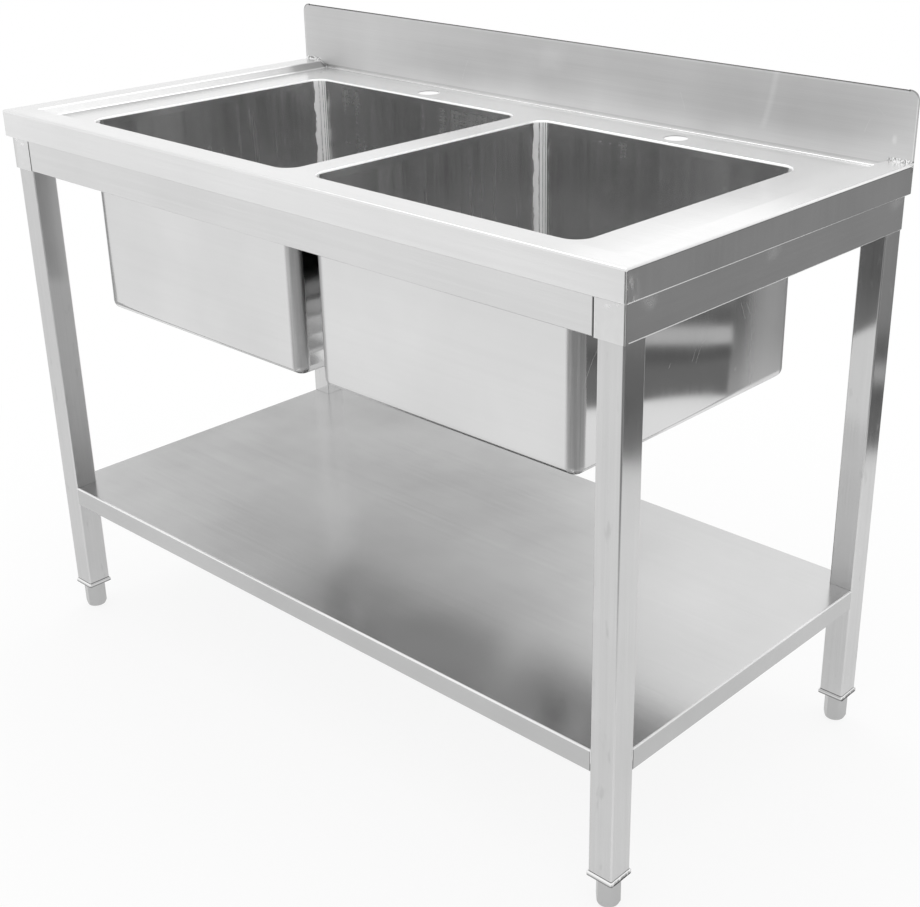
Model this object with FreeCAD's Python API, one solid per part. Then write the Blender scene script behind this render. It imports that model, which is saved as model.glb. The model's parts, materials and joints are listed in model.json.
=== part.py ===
import FreeCAD, Part
import math
import os

# Catering sink unit in folded stainless sheet: two deep bowls under a worktop with a raised
# rim and a splashback, on four square legs with rails, an undershelf and adjustable feet.
# X runs along the length, the front faces -Y, Z is up from the floor. Millimetres.

V = FreeCAD.Vector

# Overall sizes
LENGTH = 1200.0
DEPTH = 600.0            # front skirt to the back face of the splashback
RIM_HEIGHT = 857.5       # floor to the raised rim
SPLASH_RISE = 95.0       # rim to the top of the splashback corners
SHEET = 1.2              # worktop, bowls, rails and shelf
INNER_BEND = 1.5         # inside radius of the folds

# Worktop
SKIRT = 40.0             # turned-down edge at the front and both ends
RIM_WIDTH = 38.0
RECESS = 10.0            # rim down to the draining deck
SLOPE_WIDTH = 16.0       # sloping step from the rim to the deck
TOP_BEND = 3.0           # outside radius along the rim and at the front corners
COVE = 4.0               # radius of the bend from the deck into the splashback
HEM_BEND = 1.5           # inside radius of the open hems
SKIRT_HEM = 10.0         # upright leg of the hem inside the skirt
SPLASH_HEM = 12.0        # leg of the hem behind the splashback
SPLASH_CORNER = 14.0     # rounded upper corners of the splashback
SPLASH_TAB = 16.0        # plain stretch at each end of the splashback hem
HEM_STEP = 1.0           # the hem lies this much below the plain corners

# Bowls
END_MARGIN = 69.5        # flat deck from the sloping step to a bowl, at both ends
BOWL_GAP = 44.0          # deck strip between the two openings
FRONT_MARGIN = 16.0      # flat deck from the front step to the openings
TAP_LEDGE = 78.0         # openings to the back face of the splashback
BOWL_DROP = 292.0        # deck to the edge of the bowl floor
OPENING_RADIUS = 24.0    # plan corners of the openings
BOWL_RADIUS = 15.0       # upright corners of the bowls
OPENING_BEND = 3.0       # outside radius where the deck turns down into a bowl
COLLAR = 12.0            # turned-down collar that a bowl is welded to
CORNER_BLEND = 30.0      # height in which the corner radius changes
FLOOR_BEND = 12.0        # inside radius between bowl wall and floor
FLOOR_FALL = 5.0         # fall of the floor to the waste
RING_SPREAD = 15.0       # degrees, half of the seat's edge that faces a bowl corner
FALL_INSET = 22.0        # level margin round the sloping part of the floor

# Tap holes
TAP_RADIUS = 17.5
TAP_SETBACK = 34.0       # behind the bowl openings

# Rails under the worktop
RAIL_DROP = 48.0         # part of the rail that shows under the skirt
RAIL_GAP_END = 0.2       # end rail behind the hem
RAIL_GAP_FRONT = 2.0     # front rail behind the hem
RAIL_FLANGE = 22.0
RAIL_RETURN = 12.0
SEAM_COVER = 1.8         # an end rail turns the front corner and reaches this far past the leg
SEAM = 0.8               # open seam between that reach and the front rail
CORNER_RELIEF = 6.0
RAIL_BACK = 4.8          # end rails stop this far from the back face
BRACE_BACK = 12.0        # the deck brace stops this far from the back face

# Legs and the plates that join them to the rails
LEG = 38.0
LEG_WALL = 1.2
LEG_CORNER = 2.5
LEG_BOTTOM = 52.0
LEG_CLEAR = 0.4          # leg top below the deck
PLATE = 2.0
PLATE_WIDTH = 34.0
PLATE_LIFT = 4.0

# Undershelf
SHELF_HEIGHT = 235.0
SHELF_LIP = 32.0
SHELF_RETURN = 12.0
SHELF_GAP = 0.3          # corner notches round the legs

# Stiffening channels
HAT_RISE = 20.0
SHELF_HAT = 60.0         # width over the flanges
SHELF_HAT_CROWN = 34.0
DECK_HAT = 36.0
DECK_HAT_CROWN = 20.0

# Adjustable feet
FLANGE = 42.0
FLANGE_THICK = 6.0
FLANGE_BEVEL = 1.8
FLANGE_CORNER = 3.0
PLUG_CLEAR = 0.1
PLUG_RISE = 28.0
BOSS_RADIUS = 10.5
RIB = 2.4
STUD_RADIUS = 6.0        # M12 adjusting thread
STUD_FIT = 0.05
STUD_IN_FOOT = 26.0
STUD_IN_LEG = 42.0
FOOT_GAP = 1.0           # foot below the flange when screwed home
FOOT_FLATS = 30.0
FOOT_TURN = -135.0       # bearing of one upright edge on the left-hand feet
FOOT_ROUND = 9.0         # the sole is drawn in over this height, in two cones
SOLE_STEP = 2.8
END_CLEAR = 0.4

# Basket wastes
WASTE_HOLE = 45.0
WASTE_SEAT = 62.0
WASTE_FLANGE = 57.0
WASTE_FLANGE_THICK = 2.0
WASTE_FLANGE_EDGE = 0.8  # the flange slopes down to this thickness
WASTE_CUP = 43.5         # outside of the threaded cup
WASTE_WALL = 2.0
WASTE_CUP_DEEP = 46.0
WASTE_LEDGE = 5.0
WASTE_FALL = 9.0
OUTLET_RADIUS = 23.9     # 1 1/2 inch pipe thread
OUTLET_WALL = 2.4
OUTLET_LENGTH = 40.0
RING_CLEAR = 0.4
GASKET_RADIUS = 57.0
GASKET_THICK = 3.0
WASHER_THICK = 1.5
NUT_RADIUS = 56.0
NUT_THICK = 9.0
NUT_LUG = 5.0
NUT_LUG_WIDTH = 12.0
NUT_LUGS = 6
LUG_ROOT = 1.0           # depth by which the lugs are sunk in the nut

# Lift-out strainer baskets
BASKET_CLEAR = 0.5
BASKET_SHEET = 1.0
BASKET_DEEP = 26.0
BASKET_TAPER = 5.0
BASKET_SLOTS = 10
SLOT_WIDTH = 3.2
SLOT_START = 11.0        # from the post out to the foot of the wall
SLOT_END = 27.0
POST_RADIUS = 3.0
POST_RISE = 12.0
KNOB_RADIUS = 8.0
KNOB_THICK = 5.0
KNOB_BEVEL = 1.0
STOPPER_RADIUS = 19.5
STOPPER_NECK = 9.0
STOPPER_THICK = 4.0
STOPPER_RIM = 2.0        # height of its upright edge

# Allowances of the construction
OVERCUT = 1.0            # cutting forms pass the faces they cut by this much
NEAR = 0.01              # coordinates this close count as the same
SAME_POINT = 1e-6

# Planes and centres that follow from the sizes
HEM_OUT = SHEET + HEM_BEND                      # outside radius of a hem
FRONT = -(DEPTH + 2 * HEM_OUT - SHEET) / 2
BACK = FRONT + DEPTH
LEFT = -LENGTH / 2
RIM_UNDER = RIM_HEIGHT - SHEET
DECK = RIM_HEIGHT - RECESS
DECK_UNDER = DECK - SHEET
SKIRT_BOTTOM = RIM_HEIGHT - SKIRT
SPLASH_TOP = RIM_HEIGHT + SPLASH_RISE
DECK_EDGE = RIM_WIDTH + SLOPE_WIDTH
BOWL_X = (LENGTH - 2 * (DECK_EDGE + END_MARGIN) - BOWL_GAP) / 2
BOWL_Y = DEPTH - DECK_EDGE - FRONT_MARGIN - TAP_LEDGE
BOWL_CENTRE_X = (BOWL_GAP + BOWL_X) / 2
BOWL_CENTRE_Y = BACK - TAP_LEDGE - BOWL_Y / 2
COLLAR_BOTTOM = DECK - COLLAR
BOWL_FLOOR = DECK - BOWL_DROP
WASTE_LEVEL = BOWL_FLOOR - FLOOR_FALL
RAIL_X = LEFT + 2 * HEM_OUT + RAIL_GAP_END
RAIL_Y = FRONT + 2 * HEM_OUT + RAIL_GAP_FRONT
RAIL_BOTTOM = SKIRT_BOTTOM - RAIL_DROP
LEG_X = RAIL_X + SHEET + PLATE                  # outer faces of the left legs
LEG_Y = RAIL_Y + SHEET + PLATE                  # front faces of the front legs
LEG_TOP = DECK_UNDER - LEG_CLEAR
CORNER_REACH = LEG_X + LEG + SEAM_COVER         # inner end of an end rail's turned corner
FOOT_TOP = LEG_BOTTOM - FLANGE_THICK - FOOT_GAP
SIDES = (("left", 1), ("right", -1))            # a right-hand piece is the left one mirrored


def box(x0, x1, y0, y1, z0, z1):
    return Part.makeBox(x1 - x0, y1 - y0, z1 - z0, V(x0, y0, z0))


def cylinder(radius, x, y, z0, z1):
    return Part.makeCylinder(radius, z1 - z0, V(x, y, z0))


def hand(shape, sign):
    """The left-hand piece itself, or its mirror image across the middle of the length."""
    if sign > 0:
        return shape
    return shape.mirror(V(0, 0, 0), V(1, 0, 0))


def outline(x0, x1, y0, y1, radius, z):
    """Rectangle with rounded corners, as eight edges at height z."""
    corners = ((x1, y1, 1, 1), (x0, y1, -1, 1), (x0, y0, -1, -1), (x1, y0, 1, -1))
    arcs = []
    for index, (x, y, sx, sy) in enumerate(corners):
        centre = V(x - sx * radius, y - sy * radius, z)
        first = 90 * index
        ends = [centre + V(radius * math.cos(math.radians(first + step)),
                           radius * math.sin(math.radians(first + step)), 0)
                for step in (0, 45, 90)]
        arcs.append(ends)
    edges = []
    for index, ends in enumerate(arcs):
        edges.append(Part.Arc(*ends).toShape())
        edges.append(Part.LineSegment(ends[2], arcs[(index + 1) % 4][0]).toShape())
    return Part.Wire(edges)


def plate(x0, x1, y0, y1, radius, z0, z1):
    """Upright block with rounded plan corners."""
    return Part.Face(outline(x0, x1, y0, y1, radius, z0)).extrude(V(0, 0, z1 - z0))


def run(start, end):
    """Direction of a straight run of an outline."""
    length = math.hypot(end[0] - start[0], end[1] - start[1])
    return ((end[0] - start[0]) / length, (end[1] - start[1]) / length)


def turn(first, second):
    """Signed angle from one direction to the next, positive to the left."""
    cross = first[0] * second[1] - first[1] * second[0]
    dot = first[0] * second[0] + first[1] * second[1]
    return math.atan2(cross, dot)


def offset_points(points, distance):
    """The outline moved sideways to its left, with mitred corners."""
    runs = [run(a, b) for a, b in zip(points, points[1:])]
    before = [runs[0]] + runs
    after = runs + [runs[-1]]
    moved = []
    for (x, y), a, b in zip(points, before, after):
        scale = distance / (1 + a[0] * b[0] + a[1] * b[1])
        moved.append((x - (a[1] + b[1]) * scale, y + (a[0] + b[0]) * scale))
    return moved


def bent_edges(points, radii, place):
    """Straight runs joined by tangent arcs, put in space by place(u, v)."""
    edges = []
    last = points[0]
    for before, corner, after, radius in zip(points, points[1:], points[2:], radii):
        first = run(before, corner)
        second = run(corner, after)
        angle = turn(first, second)
        reach = radius * math.tan(abs(angle) / 2)
        start = (corner[0] - first[0] * reach, corner[1] - first[1] * reach)
        end = (corner[0] + second[0] * reach, corner[1] + second[1] * reach)
        side = math.copysign(radius, angle)
        centre = (start[0] - first[1] * side, start[1] + first[0] * side)
        away = run(centre, corner)
        middle = (centre[0] + away[0] * radius, centre[1] + away[1] * radius)
        if math.dist(last, start) > SAME_POINT:
            edges.append(Part.LineSegment(place(*last), place(*start)).toShape())
        edges.append(Part.Arc(place(*start), place(*middle), place(*end)).toShape())
        last = end
    edges.append(Part.LineSegment(place(*last), place(*points[-1])).toShape())
    return edges


def folded(points, side, place, draw, thickness=SHEET, bend=INNER_BEND):
    """Sheet folded along points and drawn out along a vector.

    The sheet lies to the left of the outline for side 1 and to its right for side -1.
    """
    runs = [run(a, b) for a, b in zip(points, points[1:])]
    turns = [turn(a, b) for a, b in zip(runs, runs[1:])]
    near = [bend + thickness if angle * side > 0 else bend for angle in turns]
    far = [2 * bend + thickness - radius for radius in near]
    across = offset_points(points, side * thickness)
    edges = bent_edges(points, near, place)
    edges += bent_edges(across, far, place)
    edges.append(Part.LineSegment(place(*points[0]), place(*across[0])).toShape())
    edges.append(Part.LineSegment(place(*points[-1]), place(*across[-1])).toShape())
    return Part.Face(Part.Wire(Part.__sortEdges__(edges))).extrude(draw)


def along_x(x):
    return lambda u, v: V(x, u, v)


def along_y(y):
    return lambda u, v: V(u, y, v)


def along_z(z):
    return lambda u, v: V(u, v, z)


def prism(points, place, draw):
    """Straight-sided outline drawn out along a vector."""
    corners = [place(u, v) for u, v in points]
    return Part.Face(Part.makePolygon(corners + corners[:1])).extrude(draw)


def turned(points, x, y):
    """Solid of revolution about the upright line through x, y, from radius and height."""
    corners = [V(radius, 0, z) for radius, z in points]
    face = Part.Face(Part.makePolygon(corners + corners[:1]))
    solid = face.revolve(V(0, 0, 0), V(0, 0, 1), 360)
    solid.translate(V(x, y, 0))
    return solid


def edges_at(shape, test):
    return [edge for edge in shape.Edges if test(edge.CenterOfMass)]


def close(a, b):
    return abs(a - b) < NEAR


# ---- Worktop ----

def recess_form(inset):
    """Space over the draining deck: sloping steps on three sides and a coved back."""
    slope = math.atan2(RECESS, SLOPE_WIDTH)
    shift = inset * math.tan(slope / 2)
    low_edge = DECK_EDGE - shift
    high_edge = RIM_WIDTH - shift - OVERCUT * SLOPE_WIDTH / RECESS
    low = DECK - inset
    high = RIM_HEIGHT - inset + OVERCUT
    back = BACK - SHEET + inset
    across = prism([(LEFT + low_edge, low), (-LEFT - low_edge, low),
                    (-LEFT - high_edge, high), (LEFT + high_edge, high)],
                   along_y(FRONT), V(0, DEPTH + SHEET, 0))
    along = prism([(FRONT + low_edge, low), (back, low), (back, high),
                   (FRONT + high_edge, high)], along_x(LEFT), V(LENGTH, 0, 0))
    form = across.common(along)
    foot = edges_at(form, lambda p: close(p.y, back) and close(p.z, low))
    return form.makeFillet(COVE + inset, foot)


def worktop_form(inset):
    """Block under the worktop surface, with its bowl openings, drawn in by inset."""
    left = LEFT + inset
    front = FRONT + inset
    top = RIM_HEIGHT - inset
    form = box(left, -left, front, BACK + inset, SKIRT_BOTTOM + HEM_OUT - inset, top)
    rounded = edges_at(form, lambda p: (close(p.z, top) and p.y < BACK - SHEET)
                       or (close(p.y, front) and close(abs(p.x), -left)))
    form = form.makeFillet(TOP_BEND - inset, rounded)
    form = form.cut(recess_form(inset))
    half_x = BOWL_X / 2 + inset
    half_y = BOWL_Y / 2 + inset
    for x in (-BOWL_CENTRE_X, BOWL_CENTRE_X):
        hole = plate(x - half_x, x + half_x, BOWL_CENTRE_Y - half_y, BOWL_CENTRE_Y + half_y,
                     OPENING_RADIUS + inset, SKIRT_BOTTOM, RIM_HEIGHT)
        form = form.cut(hole)
    lip = edges_at(form, lambda p: close(p.z, DECK - inset)
                   and abs(abs(p.x) - BOWL_CENTRE_X) < half_x + NEAR
                   and abs(p.y - BOWL_CENTRE_Y) < half_y + NEAR)
    return form.makeFillet(OPENING_BEND - inset, lip)


def splash_sheet():
    """Upright sheet of the splashback, cut down between its plain corners for the hem."""
    sheet = box(LEFT, -LEFT, BACK - SHEET, BACK, DECK, SPLASH_TOP)
    upper = edges_at(sheet, lambda p: close(p.z, SPLASH_TOP) and close(abs(p.x), -LEFT))
    sheet = sheet.makeFillet(SPLASH_CORNER, upper)
    hem_start = SPLASH_TOP - HEM_STEP - HEM_OUT
    return sheet.cut(box(LEFT + SPLASH_TAB, -LEFT - SPLASH_TAB,
                         BACK - 2 * SHEET, BACK + SHEET, hem_start, SPLASH_TOP + OVERCUT))


def splash_hem():
    face = BACK - SHEET
    crest = SPLASH_TOP - HEM_STEP
    points = [(face, crest - HEM_OUT), (face, crest), (face + 2 * HEM_OUT, crest),
              (face + 2 * HEM_OUT, crest - HEM_OUT - SPLASH_HEM)]
    length = LENGTH - 2 * SPLASH_TAB
    return folded(points, -1, along_x(LEFT + SPLASH_TAB), V(length, 0, 0), bend=HEM_BEND)


def skirt_hem_points(edge):
    """Outline of a skirt hem whose outer face is at edge."""
    return [(edge, SKIRT_BOTTOM + HEM_OUT), (edge, SKIRT_BOTTOM),
            (edge + 2 * HEM_OUT, SKIRT_BOTTOM),
            (edge + 2 * HEM_OUT, SKIRT_BOTTOM + HEM_OUT + SKIRT_HEM)]


def mitred(solid, points):
    """Keeps the part of a hem inside a plan polygon."""
    low = SKIRT_BOTTOM - OVERCUT
    corners = [V(x, y, low) for x, y in points]
    wedge = Part.Face(Part.makePolygon(corners + corners[:1])).extrude(V(0, 0, SKIRT))
    return solid.common(wedge)


def skirt_hems():
    """Open hems inside the three skirts, mitred at the front corners."""
    reach = 2 * TOP_BEND + 2 * HEM_OUT
    front = folded(skirt_hem_points(FRONT), 1, along_x(LEFT), V(LENGTH, 0, 0), bend=HEM_BEND)
    front = mitred(front, [(LEFT, FRONT), (-LEFT, FRONT), (-LEFT - reach, FRONT + reach),
                           (LEFT + reach, FRONT + reach)])
    end = folded(skirt_hem_points(LEFT), 1, along_y(FRONT), V(0, DEPTH, 0), bend=HEM_BEND)
    end = mitred(end, [(LEFT, FRONT), (LEFT + reach, FRONT + reach),
                       (LEFT + reach, BACK), (LEFT, BACK)])
    hems = front.fuse([end, hand(end, -1)])
    bound = box(LEFT, -LEFT, FRONT, BACK, SKIRT_BOTTOM - OVERCUT, RIM_HEIGHT)
    corners = edges_at(bound, lambda p: close(p.y, FRONT) and close(abs(p.x), -LEFT))
    return hems.common(bound.makeFillet(TOP_BEND, corners))


def sink_top():
    """Worktop and splashback in one folded sheet."""
    outer = worktop_form(0).fuse(splash_sheet())
    inner = worktop_form(SHEET)
    below = box(LEFT + SHEET, -LEFT - SHEET, FRONT + SHEET, BACK + SHEET,
                SKIRT_BOTTOM, COLLAR_BOTTOM)
    sheet = outer.cut([inner, below])
    sheet = sheet.fuse([splash_hem(), skirt_hems()]).removeSplitter()
    tap_y = BACK - TAP_LEDGE + TAP_SETBACK
    for x in (-BOWL_CENTRE_X, BOWL_CENTRE_X):
        sheet = sheet.cut(cylinder(TAP_RADIUS, x, tap_y, DECK_UNDER - OVERCUT, DECK + OVERCUT))
    return sheet


# ---- Bowls ----

def ring_wire(radius, z):
    """Circle in eight arcs whose joints face those of a rounded rectangle."""
    angles = []
    for corner in (45, 135, 225, 315):
        angles += [corner - RING_SPREAD, corner + RING_SPREAD]
    arcs = []
    for start, end in zip(angles, angles[1:] + [angles[0] + 360]):
        points = [V(radius * math.cos(math.radians(a)), radius * math.sin(math.radians(a)), z)
                  for a in (start, (start + end) / 2, end)]
        arcs.append(Part.Arc(*points).toShape())
    return Part.Wire(arcs)


def bowl_form(grow):
    """Solid that fills a bowl, centred on the upright axis and grown by grow."""
    half_x = BOWL_X / 2 + grow
    half_y = BOWL_Y / 2 + grow
    floor = BOWL_FLOOR - grow
    knee = COLLAR_BOTTOM - CORNER_BLEND
    body = plate(-half_x, half_x, -half_y, half_y, BOWL_RADIUS + grow, floor, knee)
    sill = edges_at(body, lambda p: close(p.z, floor))
    body = body.makeFillet(FLOOR_BEND + grow, sill)
    throat = Part.makeLoft([outline(-half_x, half_x, -half_y, half_y, BOWL_RADIUS + grow, knee),
                            outline(-half_x, half_x, -half_y, half_y,
                                    OPENING_RADIUS + grow, COLLAR_BOTTOM)], True, True)
    level_x = half_x - grow - FALL_INSET
    level_y = half_y - grow - FALL_INSET
    fall = Part.makeLoft([outline(-level_x, level_x, -level_y, level_y, FALL_INSET, floor),
                          ring_wire(WASTE_SEAT, floor - FLOOR_FALL)], True, True)
    return body.fuse([throat, fall])


def bowl(x):
    """Welded bowl under one opening, with its floor falling to the waste hole."""
    shell = bowl_form(SHEET).cut(bowl_form(0))
    hole = cylinder(WASTE_HOLE, 0, 0, WASTE_LEVEL - 2 * SHEET, WASTE_LEVEL + SHEET)
    shell = shell.cut(hole).removeSplitter()
    shell.translate(V(x, BOWL_CENTRE_Y, 0))
    return shell


# ---- Rails and braces ----

def front_rail():
    start = CORNER_REACH + SEAM
    points = [(RAIL_Y + RAIL_FLANGE, RIM_UNDER), (RAIL_Y, RIM_UNDER),
              (RAIL_Y, RAIL_BOTTOM), (RAIL_Y + RAIL_RETURN, RAIL_BOTTOM)]
    return folded(points, 1, along_x(start), V(-2 * start, 0, 0))


def side_rail(sign):
    """End rail: a channel along the end that also turns round the front corner."""
    channel_start = RAIL_Y + CORNER_RELIEF
    channel_end = BACK - RAIL_BACK
    points = [(RAIL_X + RAIL_FLANGE, RIM_UNDER), (RAIL_X, RIM_UNDER),
              (RAIL_X, RAIL_BOTTOM), (RAIL_X + RAIL_RETURN, RAIL_BOTTOM)]
    channel = folded(points, 1, along_y(channel_start), V(0, channel_end - channel_start, 0))
    inside = RAIL_X + SHEET
    for y0, y1 in ((channel_start, LEG_Y + LEG), (BACK - LEG, channel_end)):
        channel = channel.cut(box(inside, inside + LEG, y0 - OVERCUT, y1 + OVERCUT,
                                  RAIL_BOTTOM - OVERCUT, RAIL_BOTTOM + PLATE_LIFT))
    corner = [(CORNER_REACH, RAIL_Y), (RAIL_X, RAIL_Y), (RAIL_X, channel_start)]
    wrap = folded(corner, -1, along_z(RAIL_BOTTOM), V(0, 0, RIM_UNDER - RAIL_BOTTOM))
    return hand(channel.fuse(wrap).removeSplitter(), sign)


def back_rail():
    """Channel between the back legs, level with the part of the other rails that shows."""
    start = LEG_X + LEG
    points = [(BACK - RAIL_FLANGE, SKIRT_BOTTOM), (BACK, SKIRT_BOTTOM),
              (BACK, RAIL_BOTTOM), (BACK - RAIL_RETURN, RAIL_BOTTOM)]
    return folded(points, -1, along_x(start), V(-2 * start, 0, 0))


def hat_points(middle, width, crown, top):
    """Hat channel that hangs below the level top, with its flanges against it."""
    return [(middle - width / 2, top), (middle - crown / 2, top),
            (middle - crown / 2, top - HAT_RISE), (middle + crown / 2, top - HAT_RISE),
            (middle + crown / 2, top), (middle + width / 2, top)]


def deck_brace():
    """Hat channel under the strip between the two openings."""
    start = RAIL_Y + SHEET
    length = BACK - BRACE_BACK - start
    points = hat_points(0, DECK_HAT, DECK_HAT_CROWN, DECK_UNDER)
    return folded(points, -1, along_y(start), V(0, length, 0))


def corner_plate_front(sign):
    """Angle plate between a front leg and the rail corner in front of it."""
    points = [(LEG_X + PLATE_WIDTH, LEG_Y - PLATE), (LEG_X - PLATE, LEG_Y - PLATE),
              (LEG_X - PLATE, LEG_Y + PLATE_WIDTH)]
    height = LEG_TOP - RAIL_BOTTOM - PLATE_LIFT
    angle = folded(points, -1, along_z(RAIL_BOTTOM + PLATE_LIFT), V(0, 0, height),
                   thickness=PLATE, bend=LEG_CORNER)
    return hand(angle, sign)


def corner_plate_back(sign):
    """Flat plate between a back leg and the end rail."""
    packing = box(LEG_X - PLATE, LEG_X, BACK - LEG, BACK - RAIL_BACK,
                  RAIL_BOTTOM + PLATE_LIFT, LEG_TOP)
    return hand(packing, sign)


# ---- Legs and undershelf ----

def leg(y, sign):
    """Square tube whose front face is at y."""
    outer = plate(LEG_X, LEG_X + LEG, y, y + LEG, LEG_CORNER, LEG_BOTTOM, LEG_TOP)
    inner = plate(LEG_X + LEG_WALL, LEG_X + LEG - LEG_WALL, y + LEG_WALL, y + LEG - LEG_WALL,
                  LEG_CORNER - LEG_WALL, LEG_BOTTOM - OVERCUT, LEG_TOP + OVERCUT)
    return hand(outer.cut(inner), sign)


def shelf_form(inset):
    """Shelf block with rounded long edges on its four sides, drawn in by inset."""
    left = LEG_X + inset
    low = SHELF_HEIGHT - SHELF_LIP + inset
    high = SHELF_HEIGHT - inset
    block = box(left, -left, LEG_Y + inset, BACK - inset, low, high)
    level = edges_at(block, lambda p: close(p.z, low) or close(p.z, high))
    return block.makeFillet(SHEET + INNER_BEND - inset, level)


def undershelf():
    """Folded shelf with lips and returns on four sides, notched round the legs."""
    shelf = shelf_form(0).cut(shelf_form(SHEET))
    low = SHELF_HEIGHT - SHELF_LIP - OVERCUT
    well = box(LEG_X + SHELF_RETURN, -LEG_X - SHELF_RETURN, LEG_Y + SHELF_RETURN,
               BACK - SHELF_RETURN, low, SHELF_HEIGHT - SHELF_LIP + SHEET + OVERCUT)
    cuts = [well]
    reach = LEG + SHELF_GAP
    for y0, y1 in ((LEG_Y - OVERCUT, LEG_Y + reach), (BACK - reach, BACK + OVERCUT)):
        notch = box(LEG_X - OVERCUT, LEG_X + reach, y0, y1, low, SHELF_HEIGHT + OVERCUT)
        cuts += [notch, hand(notch, -1)]
    return shelf.cut(cuts).removeSplitter()


def shelf_stiffener():
    """Hat channel along the middle of the shelf underside."""
    start = LEG_X + SHEET + INNER_BEND
    middle = (LEG_Y + BACK) / 2
    points = hat_points(middle, SHELF_HAT, SHELF_HAT_CROWN, SHELF_HEIGHT - SHEET)
    return folded(points, -1, along_x(start), V(-2 * start, 0, 0))


# ---- Feet ----

def foot_insert(x, y):
    """Square flange under the leg, with a threaded boss and four ribs inside the tube."""
    half = FLANGE / 2
    base = LEG_BOTTOM - FLANGE_THICK
    flange = plate(x - half, x + half, y - half, y + half, FLANGE_CORNER, base, LEG_BOTTOM)
    rim = edges_at(flange, lambda p: close(p.z, LEG_BOTTOM))
    flange = flange.makeChamfer(FLANGE_BEVEL, rim)
    reach = LEG / 2 - LEG_WALL - PLUG_CLEAR
    top = LEG_BOTTOM + PLUG_RISE
    boss = cylinder(BOSS_RADIUS, x, y, LEG_BOTTOM, top)
    ribs = [box(x - reach, x + reach, y - RIB / 2, y + RIB / 2, LEG_BOTTOM, top),
            box(x - RIB / 2, x + RIB / 2, y - reach, y + reach, LEG_BOTTOM, top)]
    bore = cylinder(STUD_RADIUS + STUD_FIT, x, y, base - OVERCUT, top + OVERCUT)
    return flange.fuse([boss] + ribs).cut(bore).removeSplitter()


def foot_stud(x, y):
    """Adjusting stud between the foot and the boss."""
    return cylinder(STUD_RADIUS, x, y, FOOT_TOP - STUD_IN_FOOT,
                    LEG_BOTTOM - FLANGE_THICK + STUD_IN_LEG)


def foot_hex(x, y):
    """Hexagonal foot with a rounded sole, bored for the stud."""
    across = FOOT_FLATS / math.sqrt(3)
    bearings = [math.radians(FOOT_TURN + 60 * step) for step in range(6)]
    corners = [(across * math.cos(angle), across * math.sin(angle)) for angle in bearings]
    hexagon = prism(corners, along_z(0), V(0, 0, FOOT_TOP))
    bullet = turned([(0, 0), (across - FOOT_ROUND, 0), (across - SOLE_STEP, SOLE_STEP),
                     (across, FOOT_ROUND), (across, FOOT_TOP), (0, FOOT_TOP)], 0, 0)
    foot = hexagon.common(bullet)
    foot = foot.cut(cylinder(STUD_RADIUS + STUD_FIT, 0, 0,
                             FOOT_TOP - STUD_IN_FOOT - END_CLEAR, FOOT_TOP + OVERCUT))
    foot.translate(V(x, y, 0))
    return foot


# ---- Wastes and strainer baskets ----

def waste_body(x, y):
    """Flanged cup with a ledge for the basket and a threaded outlet below."""
    top = WASTE_LEVEL + WASTE_FLANGE_THICK
    cup = WASTE_CUP - WASTE_WALL
    ledge = top - WASTE_LEDGE
    base = WASTE_LEVEL - WASTE_CUP_DEEP
    outlet = OUTLET_RADIUS - OUTLET_WALL
    low = base - WASTE_FALL - OUTLET_LENGTH
    return turned([(cup, top), (WASTE_FLANGE, WASTE_LEVEL + WASTE_FLANGE_EDGE),
                   (WASTE_FLANGE, WASTE_LEVEL), (WASTE_CUP, WASTE_LEVEL), (WASTE_CUP, base),
                   (OUTLET_RADIUS, base - WASTE_FALL), (OUTLET_RADIUS, low), (outlet, low),
                   (outlet, base - WASTE_FALL + WASTE_WALL),
                   (cup - WASTE_WALL, base + WASTE_WALL), (cup - WASTE_WALL, ledge),
                   (cup, ledge)], x, y)


def waste_ring(x, y, drop, outer, thick):
    """Flat ring round the cup, drop below the bowl floor."""
    top = WASTE_LEVEL - SHEET - drop
    ring = cylinder(outer, x, y, top - thick, top)
    return ring.cut(cylinder(WASTE_CUP + RING_CLEAR, x, y, top - thick - OVERCUT, top + OVERCUT))


def waste_nut(x, y):
    """Ring nut with lugs for a spanner, under the gasket and the washer."""
    drop = GASKET_THICK + WASHER_THICK
    nut = waste_ring(x, y, drop, NUT_RADIUS, NUT_THICK)
    top = WASTE_LEVEL - SHEET - drop
    lugs = []
    for step in range(NUT_LUGS):
        lug = box(NUT_RADIUS - LUG_ROOT, NUT_RADIUS + NUT_LUG,
                  -NUT_LUG_WIDTH / 2, NUT_LUG_WIDTH / 2, top - NUT_THICK, top)
        lug.rotate(V(0, 0, 0), V(0, 0, 1), 360 * step / NUT_LUGS)
        lug.translate(V(x, y, 0))
        lugs.append(lug)
    return nut.fuse(lugs).removeSplitter()


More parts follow.
